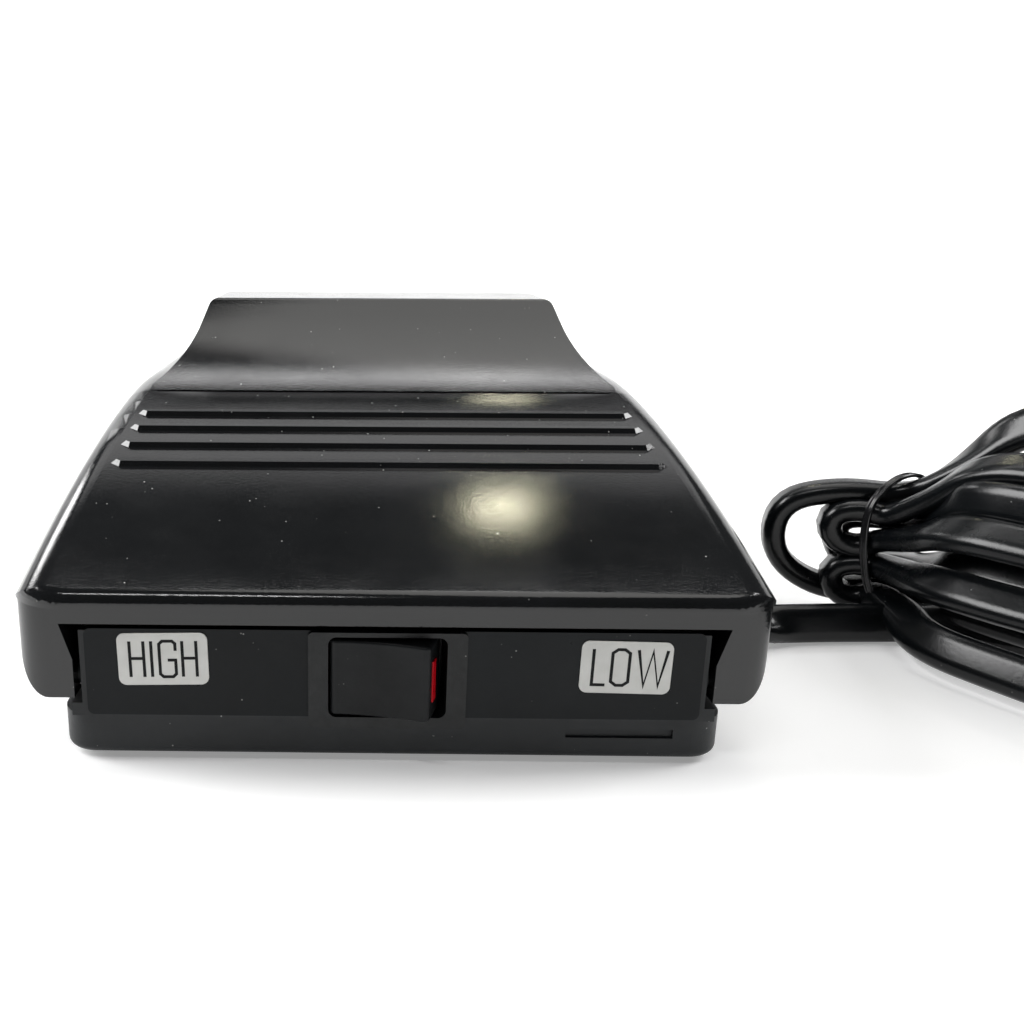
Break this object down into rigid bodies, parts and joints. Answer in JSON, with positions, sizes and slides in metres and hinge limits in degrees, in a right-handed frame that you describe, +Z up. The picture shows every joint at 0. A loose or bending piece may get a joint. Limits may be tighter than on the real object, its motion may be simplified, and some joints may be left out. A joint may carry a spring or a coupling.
{
  "type": "sewing machine pedal",
  "caption": "Foot-operated speed controller: hinged wedge cover over a flat base, range rocker switch at the heel end, cord tied in a hank with a two-pin plug.",
  "frame": {"origin": "on the floor under the middle of the pedal, without its cord", "axes": "+Z up, +Y from the heel end with the rocker switch to the toe end, +X to the right of someone who faces the switch"},
  "size_m": [0.2391, 0.1825, 0.0608],
  "materials": {
    "cover": "moulded gloss black plastic, fine dust and rub marks",
    "case": "satin black moulded plastic",
    "panel": "satin black front plate",
    "label": "warm grey printed label, satin laminate",
    "switch": "fine-textured black switch moulding",
    "rocker": "fine-textured black rocker, edges rubbed",
    "red_mark": "red inlay strip",
    "terminal": "tinned brass blades",
    "spring": "drawn spring wire",
    "slider": "natural white acetal",
    "pot": "dark blue moulded potentiometer case",
    "board": "brown phenolic circuit board",
    "screw": "zinc plated steel screws",
    "heat_sink": "extruded aluminium",
    "triac": "epoxy package",
    "choke": "enamelled copper winding",
    "capacitor": "dipped film capacitors",
    "resistor": "lacquered resistors",
    "terminal_block": "white terminal block",
    "wire": "insulated hook-up wire",
    "clamp": "black cord clamp",
    "cord": "satin black PVC cord",
    "relief": "ribbed black strain relief",
    "foot": "soft black feet",
    "tie": "black plastic twist tie",
    "plug": "moulded black plug",
    "pin": "nickel plated brass pins"
  },
  "bodies": {
    "base": {"base_housing": "case", "bottom_tray": "case", "front_panel": "panel", "high_label": "label", "low_label": "label", "switch_housing": "switch", "switch_terminals": "terminal", "return_spring_left": "spring", "return_spring_right": "spring", "slider_spring": "spring", "speed_potentiometer": "pot", "circuit_board": "board", "circuit_board_screws": "screw", "heat_sink": "heat_sink", "triac": "triac", "choke_coil": "choke", "capacitors": "capacitor", "resistors": "resistor", "terminal_block": "terminal_block", "terminal_screws": "screw", "inner_wires": "wire", "cord_clamp": "clamp", "cord_clamp_screws": "screw", "cord_inner_end": "cord", "strain_relief": "relief", "case_screws": "screw", "rubber_feet": "foot", "cord_lead": "cord", "cord_hank": "cord", "hank_tie": "tie", "cord_tail": "cord", "plug_relief": "relief", "plug_body": "plug", "plug_pins": "pin"},
    "pedal": {"pedal_cover": "cover"},
    "rocker_switch": {"rocker": "rocker", "rocker_red_mark": "red_mark"},
    "slider": {"speed_slider": "slider"}
  },
  "joints": [
    {"name": "pedal_hinge", "type": "hinge", "parent": "base", "child": "pedal", "pos_m": [0, -0.0675, 0.0124], "axis": [-1, 0, 0], "range_deg": [0, 5.5], "stiffness_Nm_per_rad": 12, "springref_deg": -4.58, "deforming": ["return_spring_left", "return_spring_right"]},
    {"name": "rocker_hinge", "type": "hinge", "parent": "base", "child": "rocker_switch", "pos_m": [-0.0008, -0.0682, 0.0141], "axis": [0, 0, 1], "range_deg": [0, 22]},
    {"name": "slider_travel", "type": "slide", "parent": "base", "child": "slider", "axis": [0, 0, -1], "range_m": [0, 0.0081], "deforming": ["slider_spring"]}
  ],
  "couplings": [
    {"joint": "slider_travel", "follows": "pedal_hinge", "m_per_rad": 0.0833}
  ]
}
